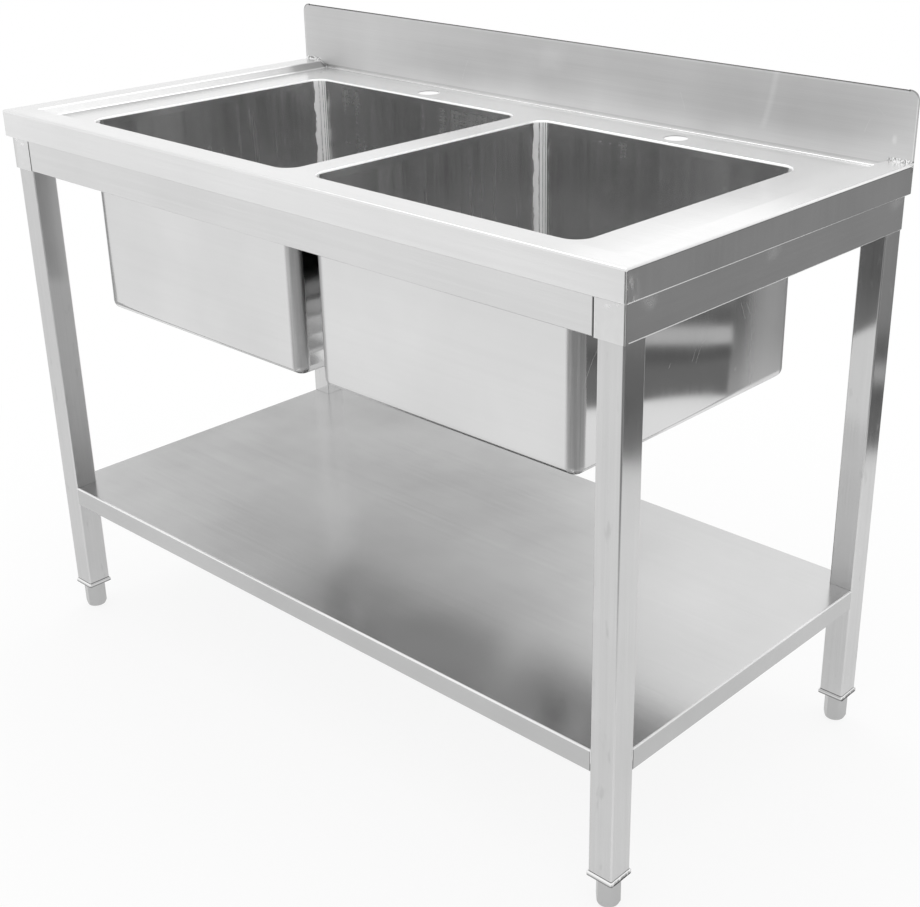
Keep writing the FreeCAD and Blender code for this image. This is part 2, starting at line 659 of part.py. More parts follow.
def strainer_basket(x, y):
    """Perforated basket that hangs on the ledge of the cup and lifts out by its knob."""
    ledge = WASTE_LEVEL + WASTE_FLANGE_THICK - WASTE_LEDGE
    rim = WASTE_CUP - WASTE_WALL - BASKET_CLEAR
    side = rim - WASTE_WALL - BASKET_CLEAR
    foot = side - BASKET_TAPER
    low = ledge - BASKET_DEEP
    floor = low + BASKET_SHEET
    knob = floor + POST_RISE
    cup = turned([(0, low), (foot, low), (side, ledge), (rim, ledge),
                  (rim, ledge + BASKET_SHEET), (side - BASKET_SHEET, ledge + BASKET_SHEET),
                  (foot - BASKET_SHEET, floor), (POST_RADIUS, floor), (POST_RADIUS, knob),
                  (KNOB_RADIUS, knob), (KNOB_RADIUS, knob + KNOB_THICK - KNOB_BEVEL),
                  (KNOB_RADIUS - KNOB_BEVEL, knob + KNOB_THICK), (0, knob + KNOB_THICK)], x, y)
    slots = []
    for step in range(BASKET_SLOTS):
        slot = box(SLOT_START, SLOT_END, -SLOT_WIDTH / 2, SLOT_WIDTH / 2,
                   low - OVERCUT, floor + OVERCUT)
        slot.rotate(V(0, 0, 0), V(0, 0, 1), 360 * step / BASKET_SLOTS)
        slot.translate(V(x, y, 0))
        slots.append(slot)
    return cup.cut(slots)


def basket_stopper(x, y):
    """Rubber disc under the basket, which closes the cup when it is pushed down."""
    top = WASTE_LEVEL + WASTE_FLANGE_THICK - WASTE_LEDGE - BASKET_DEEP
    low = top - STOPPER_THICK
    return turned([(0, low), (STOPPER_RADIUS, low), (STOPPER_RADIUS, low + STOPPER_RIM),
                   (STOPPER_NECK, top), (0, top)], x, y)


# ---- Assembly ----

def build():
    """Every separate piece of the unit by its node name."""
    pieces = {"sink_top": sink_top(), "front_rail": front_rail(), "back_rail": back_rail(),
              "deck_brace": deck_brace(), "undershelf": undershelf(),
              "shelf_stiffener": shelf_stiffener()}
    for name, sign in SIDES:
        pieces["bowl_" + name] = bowl(-sign * BOWL_CENTRE_X)
        pieces["side_rail_" + name] = side_rail(sign)
        pieces["corner_plate_front_" + name] = corner_plate_front(sign)
        pieces["corner_plate_back_" + name] = corner_plate_back(sign)
        x = LEG_X + LEG / 2
        for row, face in (("front", LEG_Y), ("back", BACK - LEG)):
            place = row + "_" + name
            y = face + LEG / 2
            pieces["leg_" + place] = leg(face, sign)
            pieces["foot_insert_" + place] = hand(foot_insert(x, y), sign)
            pieces["foot_stud_" + place] = hand(foot_stud(x, y), sign)
            pieces["foot_hex_" + place] = hand(foot_hex(x, y), sign)
        centre = (-sign * BOWL_CENTRE_X, BOWL_CENTRE_Y)
        pieces["waste_body_" + name] = waste_body(*centre)
        pieces["waste_gasket_" + name] = waste_ring(*centre, 0, GASKET_RADIUS, GASKET_THICK)
        pieces["waste_washer_" + name] = waste_ring(*centre, GASKET_THICK, GASKET_RADIUS,
                                                    WASHER_THICK)
        pieces["waste_nut_" + name] = waste_nut(*centre)
        pieces["strainer_basket_" + name] = strainer_basket(*centre)
        pieces["basket_stopper_" + name] = basket_stopper(*centre)
    return pieces


os.makedirs("parts", exist_ok=True)
for node, solid in build().items():
    solid.exportStep("parts/" + node + ".step")
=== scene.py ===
import bpy
import json
import math
from mathutils import Matrix, Vector


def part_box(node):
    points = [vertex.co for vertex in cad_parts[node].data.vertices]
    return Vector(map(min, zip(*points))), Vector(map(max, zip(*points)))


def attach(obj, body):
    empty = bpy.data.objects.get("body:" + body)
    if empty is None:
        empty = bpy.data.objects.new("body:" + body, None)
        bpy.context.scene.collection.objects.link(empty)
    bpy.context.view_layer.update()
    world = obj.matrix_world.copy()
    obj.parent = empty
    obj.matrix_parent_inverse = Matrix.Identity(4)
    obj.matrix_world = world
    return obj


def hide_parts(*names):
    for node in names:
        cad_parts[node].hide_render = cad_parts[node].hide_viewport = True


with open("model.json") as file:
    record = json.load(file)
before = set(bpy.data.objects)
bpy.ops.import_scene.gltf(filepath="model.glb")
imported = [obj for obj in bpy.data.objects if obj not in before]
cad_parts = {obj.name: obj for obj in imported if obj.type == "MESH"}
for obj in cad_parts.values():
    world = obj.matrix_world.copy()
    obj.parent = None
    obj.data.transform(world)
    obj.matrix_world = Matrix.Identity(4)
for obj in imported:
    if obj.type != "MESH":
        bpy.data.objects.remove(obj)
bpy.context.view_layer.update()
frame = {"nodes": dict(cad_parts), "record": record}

# A free-standing catering sink unit in brushed stainless steel. Metres, front faces -Y.

MM = 0.001
SIDES = ("left", "right")
ROWS = ("front", "back")
PLACES = [row + "_" + side for row in ROWS for side in SIDES]


def at_sides(name):
    return [name + "_" + side for side in SIDES]


def at_places(name):
    return [name + "_" + place for place in PLACES]


# ---- Places taken from the frame ----

TOP_LOW, TOP_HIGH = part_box("sink_top")
BOWL_LOW, BOWL_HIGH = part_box("bowl_right")
RAIL_LOW, RAIL_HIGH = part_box("side_rail_right")
FRONT_RAIL_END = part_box("front_rail")[1].x
LEG_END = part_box("leg_front_right")[0].z
SHELF_LOW, SHELF_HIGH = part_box("undershelf")
FLANGE_LOW, FLANGE_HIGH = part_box("foot_insert_front_right")
SHEET = 1.2 * MM
RECESS = 10 * MM                 # from the raised rim down to the deck
END = TOP_HIGH.x
FRONT = TOP_LOW.y
SPLASH_TOP = TOP_HIGH.z
SPLASH_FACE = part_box("back_rail")[1].y - SHEET
RIM = RAIL_HIGH.z + SHEET
DECK = RIM - RECESS
SKIRT_LOW = TOP_LOW.z
BOWL_X = (BOWL_LOW.x + BOWL_HIGH.x) / 2
BOWL_Y = (BOWL_LOW.y + BOWL_HIGH.y) / 2
BOWL_HALF_X = (BOWL_HIGH.x - BOWL_LOW.x) / 2 - SHEET
BOWL_HALF_Y = (BOWL_HIGH.y - BOWL_LOW.y) / 2 - SHEET
BOWL_MIDDLE = (BOWL_LOW.z + BOWL_HIGH.z) / 2

# ---- Camera ----

FRAME_WIDTH = 920
FRAME_HEIGHT = 907
FOCAL_PIXELS = 1498.2
AXIS_PIXEL = (543.0, 442.1)      # where the lens axis meets the picture
CAMERA_PLACE = (1.5070, -1.4667, 1.3221)
CAMERA_TURN = (65.92, -0.075, 41.275)
SENSOR = 36.0


def photographer():
    """Camera at the place and turn from which the unit was seen."""
    data = bpy.data.cameras.new("camera")
    data.sensor_width = SENSOR
    data.lens = FOCAL_PIXELS / FRAME_WIDTH * SENSOR
    data.shift_x = (FRAME_WIDTH / 2 - AXIS_PIXEL[0]) / FRAME_WIDTH
    data.shift_y = (AXIS_PIXEL[1] - FRAME_HEIGHT / 2) / FRAME_WIDTH
    camera = bpy.data.objects.new("camera", data)
    camera.location = CAMERA_PLACE
    camera.rotation_euler = [math.radians(angle) for angle in CAMERA_TURN]
    bpy.context.scene.collection.objects.link(camera)
    bpy.context.scene.camera = camera


# ---- Shader expressions ----

BLACK = (0.0, 0.0, 0.0, 1.0)
WHITE = (1.0, 1.0, 1.0, 1.0)
RED_BROWN = (0.35, 0.10, 0.06, 1.0)


def grey(level):
    return (level, level, level, 1.0)


class Number:
    """A value that changes over a surface. Arithmetic on it adds Math nodes."""

    def __init__(self, paint, socket):
        self.paint = paint
        self.socket = socket

    def math(self, operation, *values):
        return self.paint.node("ShaderNodeMath", {"operation": operation}, values)

    def __add__(self, other):
        return self.math("ADD", self, other)

    def __sub__(self, other):
        return self.math("SUBTRACT", self, other)

    def __rsub__(self, other):
        return self.math("SUBTRACT", other, self)

    def __mul__(self, other):
        return self.math("MULTIPLY", self, other)

    def __truediv__(self, other):
        return self.math("DIVIDE", self, other)

    def __pow__(self, other):
        return self.math("POWER", self, other)

    def __abs__(self):
        return self.math("ABSOLUTE", self)

    __radd__ = __add__
    __rmul__ = __mul__

    def sign(self):
        return self.math("SIGN", self)

    def least(self, other):
        return self.math("MINIMUM", self, other)

    def most(self, other):
        return self.math("MAXIMUM", self, other)

    def rise(self, low, high):
        """0 below low, 1 above high and smooth between them."""
        return self.paint.node("ShaderNodeMapRange", {"interpolation_type": "SMOOTHSTEP"},
                               (self, low, high, 0.0, 1.0))

    def fall(self, low, high):
        return 1 - self.rise(low, high)

    def near(self, middle, width):
        """1 at middle, falling to 0 at width on both sides."""
        return abs(self - middle).fall(0.0, width)

    def between(self, low, high, soft):
        """1 from low to high, with soft edges outside."""
        return self.rise(low - soft, low) * self.fall(high, high + soft)


def distance(*offsets):
    """Length of a line, given its parts along the axes."""
    total = 0.0
    for offset in offsets:
        total = offset ** 2 + total
    return total ** 0.5


class Paint:
    """Adds nodes to one node tree."""

    def __init__(self, tree):
        self.tree = tree

    def node(self, kind, settings=None, sockets=(), output=0):
        """One node with its settings, then the values or links of its sockets."""
        made = self.tree.nodes.new(kind)
        for key, value in (settings or {}).items():
            setattr(made, key, value)
        pairs = sockets.items() if isinstance(sockets, dict) else enumerate(sockets)
        for key, value in pairs:
            if isinstance(value, Number):
                self.tree.links.new(value.socket, made.inputs[key])
            else:
                made.inputs[key].default_value = value
        return Number(self, made.outputs[output])

    def parts(self, vector):
        """The three numbers of a vector."""
        first = self.node("ShaderNodeSeparateXYZ", None, (vector,))
        return [Number(self, socket) for socket in first.socket.node.outputs]

    def noise(self, vector, scale, detail=2.0):
        """Noise from -0.5 to 0.5."""
        made = self.node("ShaderNodeTexNoise", None,
                         {"Vector": vector, "Scale": scale, "Detail": detail, "Roughness": 0.5})
        return made - 0.5

    def mix(self, factor, first, second):
        """Blend of two colours."""
        return self.node("ShaderNodeMix", {"data_type": "RGBA"},
                         {0: factor, 6: first, 7: second}, 2)

    def level(self, number):
        """A number as a grey."""
        return self.mix(number, BLACK, WHITE)


class Finish(Paint):
    """One material on a Principled shader."""

    def __init__(self, name, color, roughness, metallic=1.0):
        self.material = bpy.data.materials.new(name)
        self.material.use_nodes = True
        super().__init__(self.material.node_tree)
        self.shader = self.tree.nodes["Principled BSDF"]
        self.set("Base Color", color)
        self.set("Roughness", roughness)
        self.set("Metallic", metallic)
        self.where = self.node("ShaderNodeTexCoord", output="Object")
        self.x, self.y, self.z = self.parts(self.where)

    def set(self, socket, value):
        if isinstance(value, Number):
            self.tree.links.new(value.socket, self.shader.inputs[socket])
        else:
            self.shader.inputs[socket].default_value = value

    def drawn_noise(self, scale, detail=2.0):
        """Noise with its own number of features per metre along each axis."""
        drawn = self.node("ShaderNodeVectorMath", {"operation": "MULTIPLY"}, (self.where, scale))
        return self.noise(drawn, 1.0, detail)

    def relief(self, height):
        """Bump from a height in metres."""
        self.set("Normal", self.node("ShaderNodeBump", None,
                                     {"Strength": 1.0, "Distance": 1.0, "Height": height}))

    def onto(self, *nodes):
        """Gives CAD nodes this finish."""
        for name in nodes:
            mesh = frame["nodes"][name].data
            mesh.materials.clear()
            mesh.materials.append(self.material)


# ---- Steel ----

FINE = (900.0, 9.0)              # grain lines per metre, across and along the brushing
STREAK = (140.0, 1.5)
FINE_TONE = 0.06
STREAK_TONE = 0.07
FINE_ROUGHNESS = 0.04
STREAK_ROUGHNESS = 0.03
CLOUD = 5.0
CLOUD_TONE = 0.11
CLOUD_ROUGHNESS = 0.10
GRAIN_RELIEF = 0.003 * MM
DEEP_GRAIN = 0.012 * MM
MOST_MATT = 0.9
SCUFF_TONE = 0.14
SCUFF_ROUGHNESS = 0.20
SCUFF_MATT = 0.30
GRIND_LINES = (60.0, 60.0, 900.0)            # grooves per metre along each axis
GRIND_DEEP = 0.50 * MM
GRIND_MATT = 0.85
HAIRLINE = 0.35 * MM
PATCH_EDGE = (0.15, 1.05)        # where its edge starts and ends, as shares of its half size
SPOT_EDGE = (0.1, 1.0)           # the same, squared


class Steel(Finish):
    """Brushed sheet: fine grain, soft streaks and clouds from handling."""

    def __init__(self, name, tone, roughness, grain, cloud=1.0, lines=1.0, relief=GRAIN_RELIEF):
        super().__init__(name, grey(tone), roughness)
        self.grain_relief = relief
        self.lines = lines
        self.clouds = self.noise(self.where, CLOUD, 3.0)
        self.tone = tone + CLOUD_TONE * cloud * self.clouds
        self.rough = roughness + CLOUD_ROUGHNESS * cloud * self.clouds
        self.height = None
        self.matt = None
        self.fine, self.streak = self.brushed(grain)

    def brushed(self, direction):
        """Fine grain and soft streaks along one direction."""
        return [self.drawn_noise([along if axis == direction else across for axis in "xyz"])
                for across, along in (FINE, STREAK)]

    def turn_grain(self, direction, mask):
        """Other direction of the grain where mask is 1."""
        fine, streak = self.brushed(direction)
        self.fine = self.fine * (1 - mask) + fine * mask
        self.streak = self.streak * (1 - mask) + streak * mask

    def lighten(self, mask, amount):
        self.tone = self.tone + mask * amount

    def roughen(self, mask, amount):
        self.rough = self.rough + mask * amount

    def dull(self, mask, amount):
        """Scatters the light like a ground or scuffed surface where mask is 1."""
        self.matt = mask * amount if self.matt is None else self.matt + mask * amount

    def scuff(self, mask, amount=1.0):
        """Polishing mark: lighter, rougher and duller."""
        self.lighten(mask, SCUFF_TONE * amount)
        self.roughen(mask, SCUFF_ROUGHNESS * amount)
        self.dull(mask, SCUFF_MATT * amount)

    def raise_by(self, height):
        self.height = height if self.height is None else self.height + height

    def tube_edges(self, low, high, width):
        """1 close to the upright edges of a square tube, given its corners."""
        edges = 1.0
        for axis, value in enumerate((self.x, self.y)):
            middle = (low[axis] + high[axis]) / 2
            half = (high[axis] - low[axis]) / 2
            edges = abs(value - middle).between(half - width, half + MM, 0.4 * MM) * edges
        return edges

    def patch(self, centre, reach, ragged=0.4, scale=60.0):
        """Soft spot with an uneven edge, given its middle and half sizes."""
        offsets = [(value - middle) / size
                   for value, middle, size in zip((self.x, self.y, self.z), centre, reach)]
        uneven = distance(*offsets) + ragged * 2 * self.noise(self.where, scale)
        return uneven.fall(*PATCH_EDGE)

    def spot(self, across, along, centre, reach):
        """Soft round spot in a plane."""
        off = ((across - centre[0]) / reach[0]) ** 2 + ((along - centre[1]) / reach[1]) ** 2
        return off.fall(*SPOT_EDGE)

    def scratch(self, across, along, start, length, lean, bow=0.0, width=HAIRLINE):
        """Line in a plane: across = start[0] + lean * t + bow * t * t."""
        run = along - start[1]
        line = across - start[0] - lean * run - bow * run * run
        return line.near(0.0, width) * run.between(0.0, length, 2 * MM)

    def scratches(self, across, along, rows):
        """Hairlines, each given by its start, length, lean and bow."""
        total = 0.0
        for start_across, start_along, length, lean, bow in rows:
            start = (start_across, start_along)
            total = self.scratch(across, along, start, length, lean, bow) + total
        return total

    def grind(self, mask):
        """Coarse grinding across the height of a wall, which scatters the light from above."""
        self.raise_by(self.drawn_noise(GRIND_LINES) * mask * GRIND_DEEP)
        self.dull(mask, GRIND_MATT)

    def finish(self):
        lines = FINE_TONE * self.lines * self.fine + STREAK_TONE * self.lines * self.streak
        self.set("Base Color", self.level(self.tone + lines))
        self.set("Roughness",
                 self.rough + FINE_ROUGHNESS * self.fine + STREAK_ROUGHNESS * self.streak)
        if self.matt is not None:
            self.set("Metallic", 1 - self.matt.least(MOST_MATT))
        self.raise_by(self.grain_relief * self.fine)
        self.relief(self.height)
        return self


def from_bowls(steel):
    """Place from the middle of the nearer bowl. X grows away from the middle of the unit."""
    return abs(steel.x) - BOWL_X, steel.y - BOWL_Y


# ---- Worktop ----

SPLASH_CORNER = 14 * MM
EDGE_LINE = 1.4 * MM             # painted shade along the rounded edge round the splashback
HEM_LINE = 3.2 * MM              # fold on top of it, with a painted dark reflection
OPENING_CORNER = 24 * MM
BOWL_CORNER = 15 * MM
OPENING_HIGHLIGHT = (0.14, 0.18)      # from an opening's middle, where its painted highlight line comes up

# Tones of the worktop change between two places: along X, or along Y where the name says so.
PAINTED_LIGHT_RIGHT = (0.48, 0.56)
PAINTED_LIGHT_BACK_X = (-0.55, -0.25)
PAINTED_LIGHT_BACK_Y = (-0.22, 0.20)
RIM_SHADE_LEFT = (-0.57, -0.50)
SLOPE_SHADE_LEFT = (-0.53, -0.51)
SPLASH_SHADE_LEFT = (-0.55, -0.20)
FOLD_HIGHLIGHT_Y = (-0.3, 0.2)
FOLD_DULL_Y = (-0.2, 0.25)


def worktop_steel():
    """One folded sheet: matt on top and on the splashback, brighter on its end skirts."""
    steel = Steel("worktop_steel", tone=0.83, roughness=0.22, grain="x", relief=DEEP_GRAIN)
    end_skirts(steel)
    splash = splash_sheet(steel)
    rim_and_deck(steel, splash)
    outer_folds(steel)
    splash_outline(steel, splash)
    splash_marks(steel, splash)
    weld_ends(steel)
    weld_traces(steel, splash)
    opening_rims(steel)
    skirt_marks(steel)
    steel.finish().onto("sink_top")


def end_skirts(steel):
    """Upright grain, soft clouds and painted shade on the skirts of the two ends."""
    skirt = abs(steel.x).rise(END - 1.4 * MM, END - 0.8 * MM) * steel.z.fall(RIM - 3 * MM, RIM)
    steel.turn_grain("z", skirt)
    # Painted shade: the end skirts darker, with soft clouds.
    steel.lighten(skirt, -0.10 + 0.22 * steel.clouds)
    steel.roughen(skirt, -0.06)


def splash_sheet(steel):
    """Darker, duller sheet of the splashback, with painted shade towards its left end and in the
    line of its cove. Returns its mask.
    """
    x, y, z = steel.x, steel.y, steel.z
    splash = y.rise(SPLASH_FACE - 1 * MM, SPLASH_FACE - 0.3 * MM) * z.rise(DECK, DECK + 8 * MM)
    steel.lighten(splash, -0.14 + 0.12 * steel.drawn_noise((9, 0, 2)))
    # Painted shade towards the left end of the splashback.
    steel.lighten(splash * x.fall(*SPLASH_SHADE_LEFT), -0.06)
    steel.roughen(splash, 0.24)
    steel.dull(splash, 0.30)
    # Painted shade in the cove where the deck meets the splashback.
    cove = y.rise(SPLASH_FACE - 7 * MM, SPLASH_FACE - 4 * MM) * z.between(DECK, DECK + 6 * MM, MM)
    steel.lighten(cove, -0.14)
    return splash


def rim_and_deck(steel, splash):
    """Tones of the rim, the slope and the deck: painted light makes the deck paler behind and to
    the right, painted shade darkens the left end and the slopes.
    """
    x, y, z = steel.x, steel.y, steel.z
    upper = (abs(x).fall(END - 3 * MM, END - 2 * MM) * y.rise(FRONT + 2 * MM, FRONT + 3 * MM)
             * (1 - splash))
    flat = z.between(DECK - 1 * MM, RIM, 1 * MM) * upper
    steel.dull(flat, 0.25)
    # Painted light: the deck paler to the right and towards the back.
    steel.lighten(flat * x.rise(*PAINTED_LIGHT_RIGHT), 0.15)
    steel.lighten(flat * y.rise(*PAINTED_LIGHT_BACK_Y) * x.rise(*PAINTED_LIGHT_BACK_X), 0.09)
    # Painted shade: the left end of the rim and deck darker.
    steel.lighten(flat * x.fall(*RIM_SHADE_LEFT), -0.07)
    slope = z.between(DECK + 1.5 * MM, RIM - 1.5 * MM, 1 * MM) * upper
    # Painted shade on the slopes down to the deck, darker still at the left end.
    steel.lighten(slope, -0.12)
    steel.lighten(slope * x.fall(*SLOPE_SHADE_LEFT), -0.22)


def outer_folds(steel):
    """Folds between the rim and the skirts, and at the front corners, with painted highlights;
    painted shade on the front fold.
    """
    x, y, z = steel.x, steel.y, steel.z
    front = y.fall(FRONT + 1 * MM, FRONT + 3 * MM) * z.rise(RIM - 3 * MM, RIM - 1 * MM)
    # Painted shade: the front fold a little darker.
    steel.lighten(front, -0.03)
    end = abs(x).rise(END - 3.2 * MM, END - 2.2 * MM) * z.rise(RIM - 2.6 * MM, RIM - 1.6 * MM)
    # Painted highlight along the end folds, stronger towards the back.
    steel.lighten(end * y.rise(*FOLD_HIGHLIGHT_Y), 0.16)
    steel.dull(end * y.rise(*FOLD_DULL_Y), 0.6)
    corner = abs(x).rise(END - 1.6 * MM, END - 0.8 * MM)
    corner = corner * y.fall(FRONT + 0.8 * MM, FRONT + 1.6 * MM)
    # Painted highlight on the front corners of the end skirts.
    steel.lighten(corner * z.fall(RIM - 3 * MM, RIM - 2 * MM), 0.3)
    steel.dull(corner, 0.5)


def splash_outline(steel, splash):
    """Painted shade along the outline of the splashback, and a painted dark reflection on the
    fold of the hem on its top.
    """
    side = (abs(steel.x) - (END - SPLASH_CORNER)).most(0.0)
    top = (steel.z - (SPLASH_TOP - SPLASH_CORNER)).most(0.0)
    line = SPLASH_CORNER - EDGE_LINE
    edge = distance(side, top).rise(line - 0.6 * MM, line + 0.2 * MM)
    # Painted shade along the rounded edge of the splashback.
    steel.lighten(edge * splash, -0.30)
    fold = steel.z.rise(SPLASH_TOP - HEM_LINE, SPLASH_TOP - 0.6 * HEM_LINE)
    straight = abs(steel.x).fall(END - SPLASH_CORNER - MM, END - SPLASH_CORNER)
    # Painted dark reflection on the hem's fold.
    steel.lighten(fold * straight * steel.y.rise(SPLASH_FACE - MM, SPLASH_FACE), -0.42)


# Fine scratches on the splashback: X and Z where each starts, its rise, lean and bow.
SPLASH_SCRATCHES = ((0.525, 0.890, 0.016, 0.2, 12.0), (0.552, 0.915, 0.009, -1.1, -30.0),
                    (-0.214, 0.868, 0.030, 0.3, 4.0), (0.232, 0.880, 0.022, -0.4, 0.0))
WIPE_TOP = (0.381, 0.937)        # X and Z where a wiping mark starts at the top
WIPE_LEAN = 0.16
WIPE_BOW = 1.2
WIPE_WIDTH = 8 * MM
WIPE_HEIGHTS = (0.885, 0.945)
PALE_SPOT = (-0.030, SPLASH_FACE, 0.922)
PALE_REACH = (0.05, 1.0, 0.03)
WELD_SPOT = (0.570, SPLASH_FACE, 0.886)
WELD_SPOT_REACH = (5 * MM, 1.0, 8 * MM)


def splash_marks(steel, splash):
    """A wiping mark, a pale spot, a weld spot and fine scratches on the splashback."""
    x, z = steel.x, steel.z
    down = WIPE_TOP[1] - z
    wipe = x - WIPE_TOP[0] + WIPE_LEAN * down + WIPE_BOW * down ** 2
    steel.lighten(wipe.near(0.0, WIPE_WIDTH) * z.between(*WIPE_HEIGHTS, 20 * MM) * splash, 0.08)
    pale = steel.patch(PALE_SPOT, PALE_REACH, ragged=0.5, scale=25.0)
    steel.lighten(pale * splash, 0.07)
    weld = steel.patch(WELD_SPOT, WELD_SPOT_REACH, ragged=0.4, scale=90.0)
    steel.scuff(weld * splash, 0.8)
    steel.lighten(steel.scratches(x, z, SPLASH_SCRATCHES) * splash, 0.14)


WELD_END = 34 * MM
WELD_REACH = 6 * MM


def weld_ends(steel):
    """Ground welds, still rough, where the raised rim meets the splashback, with painted glints
    and painted shade on their lumps.
    """
    line = distance(steel.y - SPLASH_FACE, steel.z - RIM)
    start = END - WELD_END
    bead = line.fall(0.5 * WELD_REACH, WELD_REACH) * abs(steel.x).rise(start - 6 * MM, start)
    lumps = steel.noise(steel.where, 320.0)
    bright = bead * lumps.rise(0.0, 0.08)
    steel.raise_by(bead * lumps * 0.6 * MM)
    # Painted glints on the lumps of the weld.
    steel.lighten(bright, 0.6)
    steel.dull(bright, 0.9)
    # Painted shade between the lumps.
    steel.lighten(bead * lumps.fall(-0.12, -0.02), -0.45)


TRACE_MIDDLE = (-0.547, 0.852)       # X and Z on the splashback, where the two traces meet
TRACE_START = (-0.515, 0.251)        # X and Y on the deck
TRACE_TONES = ((0.0, 0.35), (1.6 * MM, -0.40))       # how far to the right, how much lighter: a painted highlight, then painted shade beside it


def weld_traces(steel, splash):
    """Traces where the left slope is welded to the splashback, drawn as a painted highlight with
    painted shade along its right edge.
    """
    run = SPLASH_FACE - TRACE_START[1]
    lean = (TRACE_MIDDLE[0] - TRACE_START[0]) / run
    for shift, change in TRACE_TONES:
        x = steel.x - shift
        up = steel.scratch(x, steel.z, TRACE_MIDDLE, 11 * MM, -2.8, width=3 * MM)
        down = steel.scratch(x, steel.y, TRACE_START, run, lean, width=1.1 * MM)
        steel.lighten(up * splash + down * (1 - splash), change)


def opening_rims(steel):
    """Painted highlights on the bend round the two openings and along their right and front
    sides, and the corner welds that start under it.
    """
    side_x, side_y = from_bowls(steel)
    off_x = (abs(side_x) - (BOWL_HALF_X - OPENING_CORNER)).most(0.0)
    off_y = (abs(side_y) - (BOWL_HALF_Y - OPENING_CORNER)).most(0.0)
    outside = distance(off_x, off_y) - OPENING_CORNER
    bend = (outside.between(-1.0 * MM, 0.9 * MM, 0.7 * MM)
            * steel.z.between(DECK - 2.0 * MM, DECK, 0.8 * MM))
    # Painted highlight on the bend round each opening.
    steel.lighten(bend, 0.16)
    steel.roughen(bend, 0.16)
    steel.dull(bend, 0.35)
    level = steel.z.between(DECK - 0.4 * MM, DECK + 0.6 * MM, 0.4 * MM)
    steel.raise_by(outside.fall(0.3 * MM, 3.0 * MM) * level * -0.35 * MM)
    start, full = OPENING_HIGHLIGHT
    sides = (side_x * steel.x.sign()).rise(start, full).most(side_y.fall(-full, -start))
    line = outside.between(0.0, 1.8 * MM, 0.6 * MM) * sides * level
    # Painted highlight along the right and front sides of each opening.
    steel.lighten(line, 0.2)
    steel.dull(line, 0.4)
    turned_down = outside.fall(0.5 * MM, 1.5 * MM) * steel.z.fall(DECK - 3 * MM, DECK - 2 * MM)
    corner_welds(steel, side_x, side_y, turned_down)


def skirt_marks(steel):
    """Polishing marks at the front corners of the end skirts."""
    smear = steel.drawn_noise((1.0, 260.0, 60.0), 3.0)
    close = (steel.y - FRONT).fall(6 * MM, 30 * MM) * steel.z.fall(RIM - 14 * MM, RIM - 4 * MM)
    face = abs(steel.x).rise(END - 1.2 * MM, END - 0.4 * MM)
    steel.scuff(smear.rise(-0.08, 0.14) * close * face, 0.8)


# ---- Bowls ----

DRAFT = math.tan(math.radians(1.3))          # the walls lean in towards the floor
LOW_DRAFT = math.tan(math.radians(1.1))      # and lean more near it
LOW_REACH = 70 * MM              # up to this height above it
LOW_SOFT = 40 * MM
DISH = 5.0                       # the walls round off towards the back corners, per metre cubed
DISH_START = 0.07                # how far behind the bowl's middle that starts
DISH_SPREAD = 0.09
DISH_MIDDLE = 0.665              # height at which the walls stay flat
SMEAR_REACH = 110 * MM           # how far the smears run down inside
DOTS_IN = 10 * MM                # middle of a corner's dots, from both its walls
DOTS_UP = 6 * MM                 # and from the underside


def bowl_steel():
    """Mirror-like outside, matt and wiped inside, dull and darkened by painted shade underneath.
    """
    steel = Steel("bowl_steel", tone=0.74, roughness=0.07, grain="x", cloud=1.5, lines=0.35)
    side_x, side_y = from_bowls(steel)
    steel.turn_grain("z", abs(side_x).rise(BOWL_HALF_X - 2 * MM, BOWL_HALF_X - 0.6 * MM))
    inside = inside_of_bowl(steel, side_x, side_y)
    outside = 1 - inside
    steel.lighten(inside, -0.02)
    steel.roughen(inside, 0.18)
    under = steel.z.fall(BOWL_LOW.z + 6 * MM, BOWL_LOW.z + 12 * MM) * outside
    # Painted shade on the bowls' undersides.
    steel.lighten(under, -0.36)
    steel.roughen(under, 0.35)
    up = steel.z - BOWL_LOW.z
    low = up.math("SMOOTH_MIN", up, LOW_REACH, LOW_SOFT)
    steel.raise_by(outside * (DRAFT * up + LOW_DRAFT * low))
    back = (side_y - DISH_START).most(0.0)
    from_middle = steel.z - DISH_MIDDLE
    steel.raise_by(back * back * from_middle * from_middle * -DISH * outside)
    steel.roughen(side_y.rise(DISH_START, DISH_START + DISH_SPREAD) * outside, 0.24)
    corner_welds(steel, side_x, side_y, inside)
    inner_smears(steel, inside)
    outer_wear(steel, side_x, side_y, outside)
    steel.finish().onto(*at_sides("bowl"))


def inside_of_bowl(steel, side_x, side_y):
    """1 on the faces that look towards the middle of their bowl."""
    nx, ny, nz = steel.parts(steel.node("ShaderNodeTexCoord", output="Normal"))
    looks_out = nx * steel.x.sign() * side_x + ny * side_y + nz * (steel.z - BOWL_MIDDLE)
    return looks_out.fall(-0.001, 0.001)


# Ground bands of an upright corner weld, across it, in millimetres from the corner's middle.
GROUND_BANDS = ((-15, -4), (-1.5, 4), (6, 9), (11, 13))
LOOSE_BAND = 14 * MM             # how far the edge of the widest band wanders
TIGHT_BAND = 1.5 * MM


